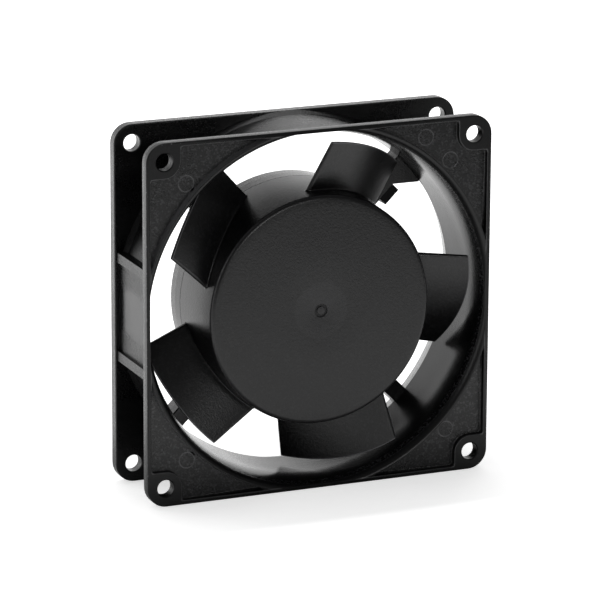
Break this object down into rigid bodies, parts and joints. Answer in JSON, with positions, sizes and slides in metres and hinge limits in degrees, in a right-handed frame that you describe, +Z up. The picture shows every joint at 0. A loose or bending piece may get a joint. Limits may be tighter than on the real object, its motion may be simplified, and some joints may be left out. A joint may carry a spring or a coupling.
{
  "type": "cooling fan",
  "caption": "Square axial fan: five-blade impeller on an outer-rotor motor, held by struts in a die-cast frame with corner mounting holes.",
  "frame": {"origin": "centre of the frame's box, on the fan's axis, halfway between the front and rear faces", "axes": "+X to the right seen from the front, +Z up, +Y along the fan's axis from the front, where air enters, to the back"},
  "size_m": [0.092, 0.0254, 0.092],
  "materials": {
    "frame_paint": "black paint on a die casting, satin",
    "impeller_plastic": "black moulded, satin",
    "black_plastic": "matte",
    "insulator_plastic": "matte",
    "sheet_steel": "zinc plated",
    "laminations": "satin",
    "cast_aluminium": "as cast",
    "bearing_steel": "ground",
    "brass": "turned",
    "copper_wire": "enamelled",
    "spring_steel": "satin",
    "tinned_brass": "tin plated",
    "lead_insulation": "matte"
  },
  "bodies": {
    "frame": {"base_insulator": "insulator_plastic", "bearing_cap": "black_plastic", "channel_cover": "black_plastic", "coil_1": "copper_wire", "coil_2": "copper_wire", "coil_3": "copper_wire", "coil_4": "copper_wire", "frame_housing": "frame_paint", "front_bearing_balls": "bearing_steel", "front_bearing_outer_ring": "bearing_steel", "front_bearing_shields": "bearing_steel", "front_insulator": "insulator_plastic", "lead_wire_1": "lead_insulation", "lead_wire_2": "lead_insulation", "preload_spring": "spring_steel", "rear_bearing_balls": "bearing_steel", "rear_bearing_outer_ring": "bearing_steel", "rear_bearing_shields": "bearing_steel", "rear_insulator": "insulator_plastic", "shading_ring_1": "copper_wire", "shading_ring_2": "copper_wire", "shading_ring_3": "copper_wire", "shading_ring_4": "copper_wire", "spade_terminal_1": "tinned_brass", "spade_terminal_2": "tinned_brass", "stator_core": "laminations", "terminal_block": "black_plastic"},
    "rotor": {"impeller": "impeller_plastic", "rotor_cup": "sheet_steel", "rotor_core": "laminations", "squirrel_cage": "cast_aluminium", "shaft_bush": "brass", "shaft": "bearing_steel", "front_bearing_inner_ring": "bearing_steel", "rear_bearing_inner_ring": "bearing_steel", "front_shim": "spring_steel", "rear_shim": "spring_steel", "retaining_clip": "spring_steel"}
  },
  "joints": [
    {"name": "rotor_spin", "type": "hinge", "parent": "frame", "child": "rotor", "pos_m": [0, 0, 0], "axis": [0, 1, 0], "continuous": true}
  ]
}
